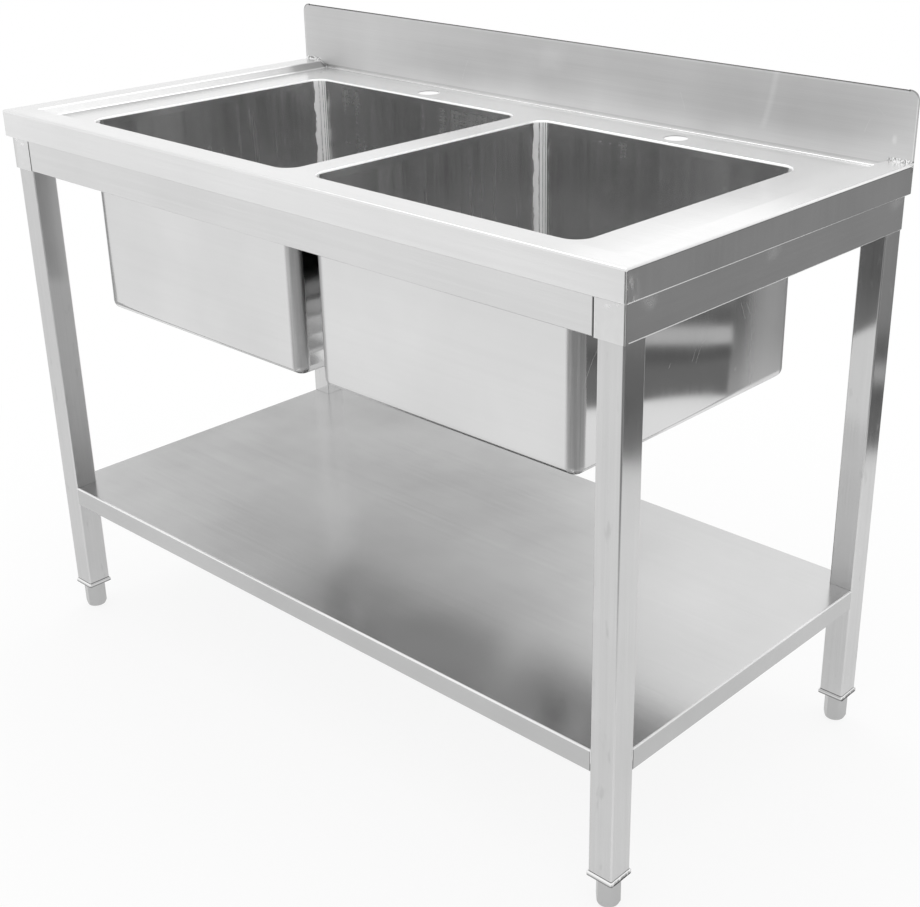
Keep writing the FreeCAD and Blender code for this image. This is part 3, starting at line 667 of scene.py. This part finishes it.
def corner_welds(steel, side_x, side_y, inside):
    """Upright welds in the corners, ground across and blended with uneven edges; the ground bands
    are paler, partly as painted highlight.
    """
    wander = steel.drawn_noise((12.0, 12.0, 45.0), 3.0)
    off_x = BOWL_HALF_X - abs(side_x)
    off_y = BOWL_HALF_Y - abs(side_y)
    across = off_x - off_y
    close = off_x.least(off_y).fall(8 * MM, 9 * MM) * inside
    total = 0.0
    for start, end in GROUND_BANDS:
        loose = LOOSE_BAND if start < -10 else TIGHT_BAND
        edge = across - wander * loose * (across.fall(-10 * MM, -2 * MM) + 0.3)
        total = edge.between(start * MM, end * MM, 0.6 * MM) + total
    band = total.least(1.0) * close * steel.z.rise(BOWL_LOW.z + 12 * MM, BOWL_LOW.z + 22 * MM)
    # Ground bands paler, partly painted highlight of light caught from above.
    steel.lighten(band, 0.30)
    steel.roughen(band, 0.10)
    steel.grind(band)


def inner_smears(steel, inside):
    """Smears that run down from the openings."""
    smear = steel.drawn_noise((75.0, 75.0, 3.0), 1.0)
    high = steel.z.rise(BOWL_HIGH.z - SMEAR_REACH, BOWL_HIGH.z)
    steel.lighten(smear * high * inside, 0.26)
    steel.lighten(high * high * inside, 0.05)
    steel.roughen(smear * inside, 0.10)


def corner_zone(off, half):
    """1 within a corner's radius of a wall."""
    return abs(off).rise(half - BOWL_CORNER - 3 * MM, half - BOWL_CORNER + 3 * MM)


# Fine scratches on the outer end walls: Y and Z where each starts, its rise, lean and bow.
OUTER_SCRATCHES = (
    (0.003, 0.636, 0.026, 0.35, 9.0), (-0.006, 0.640, 0.014, 0.5, 0.0),
    (0.110, 0.668, 0.023, -0.5, 0.0), (0.121, 0.672, 0.015, -0.6, 0.0),
    (-0.221, 0.669, 0.040, 0.35, 6.0), (-0.055, 0.646, 0.004, 0.6, 0.0),
    (0.093, 0.600, 0.003, 0.3, 0.0), (0.040, 0.700, 0.012, 0.9, 0.0),
)


def outer_wear(steel, side_x, side_y, outside):
    """Rough corners darkened by painted shade, dots at their feet and fine scratches on the end
    walls.
    """
    weld = corner_zone(side_x, BOWL_HALF_X) * corner_zone(side_y, BOWL_HALF_Y) * outside
    steel.roughen(weld, 0.34)
    # Painted shade on the rounded outer corners, with paler mottling.
    steel.lighten(weld, -0.26)
    steel.lighten(weld * steel.drawn_noise((300, 300, 8)), 0.3)
    dots = steel.noise(steel.where, 260.0, 1.0).rise(0.06, 0.14)
    for row in (-1, 1):
        foot = distance(abs(side_x) - BOWL_HALF_X + DOTS_IN,
                        row * side_y - BOWL_HALF_Y + DOTS_IN, steel.z - BOWL_LOW.z - DOTS_UP)
        steel.lighten(dots * foot.fall(10 * MM, 16 * MM) * outside, 0.3)
    end_wall = side_x.rise(BOWL_HALF_X - 1 * MM, BOWL_HALF_X)
    lines = steel.scratches(steel.y, steel.z, OUTER_SCRATCHES) * end_wall
    steel.lighten(lines, 0.2)
    steel.roughen(lines, 0.3)


# ---- Frame, shelf and feet ----

SEAM = 2.6 * MM                  # painted shade of the gap between the front rail and the end rails
TUBE_EDGE = 1.8 * MM
WELD_SPOTS = ((40, 18), (281, 22), (568, 26))    # behind the front corner, half length, in mm
WELD_SPOT_HIGH = 16 * MM
WIDE = 10.0                      # half size that leaves a patch without an edge that way
RETURN_SPOTS = (((0.5687, SKIRT_LOW - 8.5 * MM), (6 * MM, 2.2 * MM)),
                ((0.583, SKIRT_LOW - 3 * MM), (4 * MM, 3 * MM)))      # middles and half sizes
BUCKLE = 6 * MM                  # how far the thin shelf waves over a third of a metre


def rail_steel():
    rail = Steel("rail_steel", tone=0.74, roughness=0.18, grain="x")
    # Painted shade at the ends of the front rail, for the gap to the end rails.
    rail.lighten(abs(rail.x).rise(FRONT_RAIL_END - SEAM, FRONT_RAIL_END - SEAM / 2), -0.60)
    rail.finish().onto("front_rail", "back_rail", "shelf_stiffener")


def end_rail_steel():
    """End rails with the polished marks of the welds that hold them to the worktop, painted
    highlights on their front corners and by the front rail, and painted shade on the left end's
    return.
    """
    steel = Steel("end_rail_steel", tone=0.72, roughness=0.17, grain="y", cloud=1.8)
    out = abs(steel.x)
    face = out.rise(RAIL_HIGH.x - 1.0 * MM, RAIL_HIGH.x - 0.3 * MM)
    front = RAIL_LOW.y
    for behind, half in WELD_SPOTS:
        mark = steel.patch((0, front + behind * MM, SKIRT_LOW - 5 * MM),
                           (WIDE, half * MM, WELD_SPOT_HIGH), ragged=0.5, scale=70.0)
        steel.scuff(mark * face, 0.45)
    returned = 1 - face
    steel.lighten(returned, 0.03)
    # Painted shade on the return at the left end.
    steel.lighten(returned * steel.x.fall(-END, -END + 20 * MM), -0.14)
    corner = (out.rise(RAIL_HIGH.x - 1.6 * MM, RAIL_HIGH.x - 0.6 * MM)
              * steel.y.fall(front + 0.6 * MM, front + 1.6 * MM))
    # Painted highlight on the front corner.
    steel.lighten(corner, 0.25)
    steel.dull(corner, 0.5)
    for middle, reach in RETURN_SPOTS:
        steel.scuff(steel.spot(out, steel.z, middle, reach) * returned, 1.2)
    edge = out.fall(FRONT_RAIL_END + 0.8 * MM, FRONT_RAIL_END + 2.2 * MM)
    # Painted highlight on the return beside the front rail.
    steel.lighten(edge * returned, 0.18)
    steel.finish().onto("side_rail_left", "side_rail_right", "deck_brace")


def leg_steel():
    """Square tube with painted highlights on its upright edges, scuffs, and painted shade in the
    joint over the foot.
    """
    for row in ROWS:
        steel = Steel("leg_steel_" + row, tone=0.65, roughness=0.13, grain="z", cloud=1.4)
        for side in SIDES:
            low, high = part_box("leg_%s_%s" % (row, side))
            edges = steel.tube_edges(low, high, TUBE_EDGE)
            # Painted highlight on the upright edges.
            steel.lighten(edges, 0.08)
            steel.dull(edges, 0.12)
        if row == "front":
            steel.roughen(steel.x.fall(-0.1, 0.0), 0.20)
        # Painted shade in the joint over the foot.
        steel.lighten(steel.z.fall(LEG_END + 0.7 * MM, LEG_END + 1.5 * MM), -0.55)
        scuffs = steel.drawn_noise((70.0, 70.0, 25.0), 3.0)
        steel.lighten(scuffs.rise(0.12, 0.26), -0.07)
        steel.scuff(scuffs.fall(-0.28, -0.15), 0.4)
        steel.finish().onto(*at_sides("leg_" + row), *at_sides("corner_plate_" + row))


def shelf_steel():
    """Thin sheet that waves a little, with painted highlights on its bends and painted shade on
    its lips.
    """
    steel = Steel("shelf_steel", tone=0.70, roughness=0.20, grain="x", cloud=1.4, lines=0.4,
                  relief=3 * DEEP_GRAIN)
    front = steel.y - SHELF_LOW.y
    end = SHELF_HIGH.x - abs(steel.x)
    lip = front.fall(1.0 * MM, 2.2 * MM).most(end.fall(1.0 * MM, 2.2 * MM))
    low = steel.z.fall(SHELF_HIGH.z - 2.6 * MM, SHELF_HIGH.z - 1.6 * MM)
    # Painted shade on the lower part of the lips.
    steel.lighten(lip * low, -0.14)
    steel.raise_by(steel.noise(steel.where, 2.6, 0.0) * (1 - lip) * BUCKLE)
    bend = front.fall(2.0 * MM, 3.2 * MM).most(end.fall(2.0 * MM, 3.2 * MM)) * (1 - low)
    # Painted highlight along the bends.
    steel.lighten(bend, 0.28)
    steel.dull(bend, 0.7)
    steel.finish().onto("undershelf")


def foot_steel():
    """Polished flange with painted shade on its lower edge, a painted highlight along its top and
    painted dark reflections spotted on its outer faces, over a plain hexagon.
    """
    flange = Steel("foot_flange_steel", tone=0.74, roughness=0.07, grain="x", lines=0.2)
    under = FLANGE_LOW.z + 1.6 * MM
    # Painted shade along the lower edge of the flange.
    flange.lighten(flange.z.fall(under, under + 0.8 * MM), -0.45)
    # Painted highlight along the top of the flange, under the leg.
    flange.lighten(flange.z.between(LEG_END - 1.6 * MM, LEG_END, 0.5 * MM), 0.16)
    outer = abs(flange.x).rise(FLANGE_HIGH.x - 1.2 * MM, FLANGE_HIGH.x - 0.4 * MM)
    dark_reflection_spots = flange.noise(flange.where, 160.0)
    # Painted dark reflections spotted on the outer faces.
    flange.lighten(outer * dark_reflection_spots.fall(-0.05, 0.15), -0.45)
    flange.finish().onto(*at_places("foot_insert"))
    hexagon = Steel("foot_steel", tone=0.55, roughness=0.26, grain="z", lines=0.35)
    hexagon.finish().onto(*at_places("foot_hex"))


def waste_finishes():
    waste = Steel("waste_steel", tone=0.70, roughness=0.14, grain="z")
    waste.finish().onto(*at_sides("waste_body"))
    rubber = Finish("seal_rubber", grey(0.03), roughness=0.6, metallic=0.0)
    rubber.onto(*at_sides("waste_gasket"), *at_sides("basket_stopper"))
    fibre = Finish("washer_fibre", RED_BROWN, roughness=0.8, metallic=0.0)
    fibre.onto(*at_sides("waste_washer"))
    nut = Finish("nut_plastic", grey(0.06), roughness=0.4, metallic=0.0)
    nut.onto(*at_sides("waste_nut"))


# ---- New pieces ----

def edited(action, **settings):
    """One operator on everything in edit mode."""
    bpy.ops.object.mode_set(mode="EDIT")
    bpy.ops.mesh.select_all(action="SELECT")
    action(**settings)
    bpy.ops.object.mode_set(mode="OBJECT")


def copied_to(piece, name, x, y):
    """A copy with its own mesh, moved in its mesh."""
    twin = piece.copy()
    twin.data = piece.data.copy()
    twin.name = twin.data.name = name
    twin.data.transform(Matrix.Translation((x, y, 0)))
    bpy.context.scene.collection.objects.link(twin)
    return twin


def body_of(node):
    return next(body for body, nodes in frame["record"]["behaviour"]["bodies"].items()
                if node in nodes)


def stand_for(piece, node, finish):
    """The piece takes a node's place on its body."""
    piece.data.materials.clear()
    piece.data.materials.append(finish.material)
    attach(piece, body_of(node))
    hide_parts(node)


# ---- Adjusting studs ----

PITCH = 1.75 * MM
THREAD_DEEP = 1.07 * MM
THREAD_STEPS = 20
PROFILE = ((0.0, 0.25), (1.0, 0.3125), (0.0, 0.125), (-1.0, 0.3125))     # depths, pitches
MERGED = 0.001 * MM


def threaded_stud(low, high, crest):
    """Stud with a rolled thread round the Z axis: the profile of one turn, screwed upwards."""
    bpy.ops.object.select_all(action="DESELECT")
    bpy.ops.mesh.primitive_plane_add(size=MM)
    stud = bpy.context.object
    bpy.ops.object.mode_set(mode="EDIT")
    bpy.ops.mesh.merge(type="CENTER")
    bpy.ops.transform.translate(value=(crest - THREAD_DEEP, 0, low - PITCH))
    for out, rise in PROFILE:
        step = (out * THREAD_DEEP, 0, rise * PITCH)
        bpy.ops.mesh.extrude_vertices_move(TRANSFORM_OT_translate={"value": step})
    bpy.ops.object.mode_set(mode="OBJECT")
    screw = stud.modifiers.new("thread", "SCREW")
    screw.screw_offset = PITCH
    screw.iterations = math.ceil((high - low) / PITCH) + 2
    screw.steps = screw.render_steps = THREAD_STEPS
    bpy.ops.object.modifier_apply(modifier="thread")
    edited(bpy.ops.mesh.remove_doubles, threshold=MERGED)
    for height, outwards in ((high, 1), (low, -1)):
        edited(bpy.ops.mesh.bisect, plane_co=(0, 0, height), plane_no=(0, 0, outwards),
               use_fill=True, clear_outer=True)
    edited(bpy.ops.mesh.normals_make_consistent, inside=False)
    bpy.ops.object.shade_smooth_by_angle(angle=math.radians(28))
    return stud


def adjusting_studs():
    low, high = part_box("foot_stud_front_right")
    pattern = threaded_stud(low.z, high.z, (high.x - low.x) / 2)
    zinc = Steel("stud_steel", tone=0.58, roughness=0.25, grain="z").finish()
    for place in PLACES:
        low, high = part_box("foot_stud_" + place)
        middle = (low + high) / 2
        stud = copied_to(pattern, "thread_" + place, middle.x, middle.y)
        stand_for(stud, "foot_stud_" + place, zinc)
    bpy.data.objects.remove(pattern)


# ---- Strainer baskets ----

BASKET_SHEET = 0.8 * MM
BASKET_SIDES = 40
BASKET_RIM = 2.5 * MM            # width of the rim that it hangs by
WALL_LEAN = 5 * MM
WALL_ROWS = 5
POST_RADIUS = 3.0 * MM
KNOB_RADIUS = 8.0 * MM
KNOB_CROWN = 0.4                 # flat middle of the knob, as a share of its radius
KNOB_SHOULDER = 0.8
KNOB_UNDER = 13.0 * MM           # above the basket's underside
KNOB_TOP = 18.0 * MM
HOLE_RINGS = (10.5, 14.0, 17.8, 22.0, 26.6, 31.2)     # radii of the floor's rings in mm
HOLE_INSET = 0.475 * MM
HOLES_END = (1 * MM, 3 * MM, 5 * MM)     # plain edge of the floor, wall's foot and wall's top


def basket_rings(low, high):
    """Radii and heights of a basket's rings, from the top of the knob to the edge of the rim."""
    rim = (high.x - low.x) / 2
    foot = rim - BASKET_RIM - WALL_LEAN
    base = low.z + BASKET_SHEET
    tall = high.z - low.z - 2 * BASKET_SHEET
    knob = low.z + KNOB_TOP
    under = low.z + KNOB_UNDER
    shoulder = KNOB_RADIUS * KNOB_SHOULDER
    rings = [(KNOB_RADIUS * KNOB_CROWN, knob), (shoulder, knob - 0.3 * MM),
             (KNOB_RADIUS, knob - 1.6 * MM), (KNOB_RADIUS, knob - 3.4 * MM),
             (shoulder, under), (POST_RADIUS, under), (POST_RADIUS, base + 1.5 * MM),
             (POST_RADIUS * 1.5, base)]
    rings += [(ring * MM, base) for ring in HOLE_RINGS]
    rings += [(foot + WALL_LEAN * row / WALL_ROWS, base + tall * row / WALL_ROWS)
              for row in range(WALL_ROWS + 1)]
    rings.append((rim - 0.4 * MM, base + tall))
    return rings


def basket_surface(rings):
    """Closed at the top of the knob, then on through each ring to the edge of the rim."""
    radius, height = rings[0]
    bpy.ops.object.select_all(action="DESELECT")
    bpy.ops.mesh.primitive_circle_add(vertices=BASKET_SIDES, radius=radius,
                                      location=(0, 0, height), fill_type="TRIFAN")
    basket = bpy.context.object
    bpy.ops.object.transform_apply(location=True)
    bpy.ops.object.mode_set(mode="EDIT")
    bpy.ops.mesh.select_mode(type="VERT")
    bpy.ops.mesh.select_all(action="SELECT")
    bpy.ops.mesh.region_to_loop()
    for next_radius, next_height in rings[1:]:
        rise = (0, 0, next_height - height)
        bpy.ops.mesh.extrude_region_move(TRANSFORM_OT_translate={"value": rise})
        grow = next_radius / radius
        bpy.ops.transform.resize(value=(grow, grow, 1), center_override=(0, 0, next_height))
        radius, height = next_radius, next_height
    bpy.ops.object.mode_set(mode="OBJECT")
    return basket


def strainer_basket(low, high):
    """Perforated cup that hangs by its rim, with a knob on a post, round the Z axis."""
    rings = basket_rings(low, high)
    basket = basket_surface(rings)
    foot, base = rings[-WALL_ROWS - 2]           # the lowest ring of the wall
    punch_holes(basket, foot, base, high.z)
    edited(bpy.ops.mesh.normals_make_consistent, inside=False)
    skin = basket.modifiers.new("sheet", "SOLIDIFY")
    skin.thickness = BASKET_SHEET
    skin.offset = 1.0 if floor_looks_down(basket) else -1.0
    bpy.ops.object.modifier_apply(modifier="sheet")
    smooth = basket.modifiers.new("smooth", "SUBSURF")
    smooth.levels = smooth.render_levels = 1
    bpy.ops.object.modifier_apply(modifier="smooth")
    bpy.ops.object.shade_smooth_by_angle(angle=math.radians(40))
    return basket


def floor_looks_down(basket):
    lowest = min(basket.data.polygons, key=lambda face: face.center.z)
    return lowest.normal.z < 0


def punch_holes(basket, foot, base, top):
    """Every other face of the floor and the wall gets a hole."""
    bpy.ops.object.mode_set(mode="EDIT")
    bpy.ops.mesh.select_mode(type="FACE")
    bpy.ops.mesh.select_all(action="DESELECT")
    bpy.ops.object.mode_set(mode="OBJECT")
    step = 2 * math.pi / BASKET_SIDES
    floor_edge, wall_foot, wall_top = HOLES_END
    for face in basket.data.polygons:
        out = math.hypot(face.center.x, face.center.y)
        turn = int(math.atan2(face.center.y, face.center.x) // step)
        flat = (HOLE_RINGS[0] * MM < out < foot - floor_edge
                and face.center.z < base + floor_edge)
        upright = out > foot and base + wall_foot < face.center.z < top - wall_top
        face.select = (flat or upright) and turn % 2 == 0
    bpy.ops.object.mode_set(mode="EDIT")
    bpy.ops.mesh.inset(thickness=HOLE_INSET, use_individual=True)
    bpy.ops.mesh.delete(type="FACE")
    bpy.ops.object.mode_set(mode="OBJECT")


def strainer_baskets():
    chrome = Steel("basket_steel", tone=0.72, roughness=0.16, grain="z", cloud=0.5).finish()
    for side in SIDES:
        node = "strainer_basket_" + side
        low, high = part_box(node)
        middle = (low + high) / 2
        if side == "left":
            pattern = strainer_basket(low, high)
        basket = copied_to(pattern, "basket_" + side, middle.x, middle.y)
        stand_for(basket, node, chrome)
    bpy.data.objects.remove(pattern)


# ---- Studio ----

FLOOR_RADIUS = 6.0
PAPER = 0.90                     # tone of the white paper that the unit stands on
DARK_FLOOR = 0.16                # tone of the floor beyond it
PAPER_BEARING = 42.6             # degrees from +X, the way to the end of the paper
PAPER_END = 1.59                 # metres from the unit's middle to that end
STRIP = (1.98, 2.08)             # pale strip on the dark floor beyond it
STRIP_START = -0.12              # where the strip starts, to the left of that bearing
STRIP_PALER = 0.38
STRIP_SHADES = (0.06, 0.05)      # how much darker the floor is before and behind the strip
GREY_FLOOR = 2.32                # from here on the floor is paler again
GREY_PALER = 0.12
NEAR_BEARING = 318.0             # the paper ends on this side too
NEAR_END = 1.05
NEAR_DARKER = 0.82               # how much of the paper's tone is lost there
MIRRORED_EVEN = 0.7              # share of even light on the floor that the steel mirrors
SEEN_WHITE = 0.85                # share of white that the eye sees close to the unit
ROOM = 0.95                      # level of the room that the steel mirrors
OVERHEAD = 0.10                  # how much brighter it is above
DARK_END = 50.0                  # bearing of its dark end
DARKER = 0.85

# Window, column and bright end: bearing, cosines from it at the edge and inside, lowest and
# highest sine above the floor, softness, change of level.
WALL_AREAS = ((135.0, 0.2, 0.9, 0.02, 0.30, 0.08, 0.22),
              (139.0, 0.970, 0.997, 0.38, 0.62, 0.05, -0.45),
              (232.0, 0.5, 0.9, 0.05, 0.45, 0.15, 0.45))


def towards(x, y, degrees):
    """How far a place lies along a bearing."""
    angle = math.radians(degrees)
    return x * math.cos(angle) + y * math.sin(angle)


def world_light():
    """White to the eye; for the steel a bright room that is dark at one end."""
    world = bpy.data.worlds.new("room")
    world.use_nodes = True
    bpy.context.scene.world = world
    room = Paint(world.node_tree)
    background = world.node_tree.nodes["Background"]
    x, y, z = room.parts(room.node("ShaderNodeTexCoord", output="Generated"))
    flat = distance(x, y).most(0.01)
    dark = (towards(x, y, DARK_END) / flat).rise(0.35, 0.80) * z.fall(0.0, 0.2)
    level = ROOM + OVERHEAD * z.rise(0.3, 0.9) - DARKER * dark
    for bearing, edge, inner, lowest, highest, soft, change in WALL_AREAS:
        faced = (towards(x, y, bearing) / flat).rise(edge, inner)
        level = level + change * faced * z.between(lowest, highest, soft)
    seen = room.node("ShaderNodeLightPath", output="Is Camera Ray")
    color = room.mix(seen, room.level(level), WHITE)
    world.node_tree.links.new(color.socket, background.inputs["Color"])


def floor_tone(x, y):
    """White paper on a dark floor with a pale strip."""
    ahead = towards(x, y, PAPER_BEARING)
    left = towards(x, y, PAPER_BEARING + 90)
    strip = ahead.between(STRIP[0], STRIP[1], 0.02) * left.rise(STRIP_START - 0.05, STRIP_START)
    far_tone = (DARK_FLOOR + STRIP_PALER * strip
                - STRIP_SHADES[0] * ahead.near(STRIP[0] - 0.08, 0.1)
                - STRIP_SHADES[1] * ahead.near(STRIP[1] + 0.08, 0.1)
                + GREY_PALER * ahead.rise(GREY_FLOOR - 0.08, GREY_FLOOR + 0.05))
    nearer = towards(x, y, NEAR_BEARING).rise(NEAR_END - 0.3, NEAR_END + 0.9)
    far = ahead.rise(PAPER_END - 0.02, PAPER_END + 0.02)
    return PAPER * (1 - far) * (1 - NEAR_DARKER * nearer) + far_tone * far


def floor():
    """Floor that keeps the unit's shadow, white to the eye further out."""
    bpy.ops.object.select_all(action="DESELECT")
    bpy.ops.mesh.primitive_circle_add(vertices=96, radius=FLOOR_RADIUS, fill_type="NGON")
    sheet = bpy.context.object
    sheet.name = "floor"
    paint = Finish("floor_paper", grey(PAPER), roughness=0.9, metallic=0.0)
    color = paint.level(floor_tone(paint.x, paint.y))
    paint.set("Base Color", color)
    beyond = distance(paint.x, paint.y).rise(0.8, 1.5)
    rays = paint.node("ShaderNodeLightPath")
    seen, mirrored = [Number(paint, rays.socket.node.outputs[name])
                      for name in ("Is Camera Ray", "Is Glossy Ray")]
    surface = Number(paint, paint.shader.outputs[0])
    lit = paint.node("ShaderNodeEmission", None, (color, 1.0))
    even = paint.node("ShaderNodeMixShader", None, (mirrored * MIRRORED_EVEN, surface, lit))
    glow = paint.node("ShaderNodeEmission", None, (WHITE, 1.0))
    white = seen * (SEEN_WHITE + (1 - SEEN_WHITE) * beyond)
    mixed = paint.node("ShaderNodeMixShader", None, (white, even, glow))
    output = paint.tree.nodes["Material Output"]
    paint.tree.links.new(mixed.socket, output.inputs["Surface"])
    sheet.data.materials.append(paint.material)


def soft_lamp(name, place, target, size, power):
    data = bpy.data.lights.new(name, "AREA")
    data.size = size
    data.energy = power
    lamp = bpy.data.objects.new(name, data)
    lamp.location = place
    lamp.rotation_euler = (Vector(target) - Vector(place)).to_track_quat("-Z", "Y").to_euler()
    bpy.context.scene.collection.objects.link(lamp)


def studio():
    world_light()
    floor()
    soft_lamp("soft_lamp_above", place=(-0.6, 0.4, 2.6), target=(0, 0, 0.8), size=1.6, power=12)
    bpy.context.scene.view_settings.view_transform = "Standard"


bpy.ops.object.select_all(action="DESELECT")
worktop_steel()
bowl_steel()
rail_steel()
end_rail_steel()
leg_steel()
shelf_steel()
foot_steel()
waste_finishes()
adjusting_studs()
strainer_baskets()
studio()
photographer()
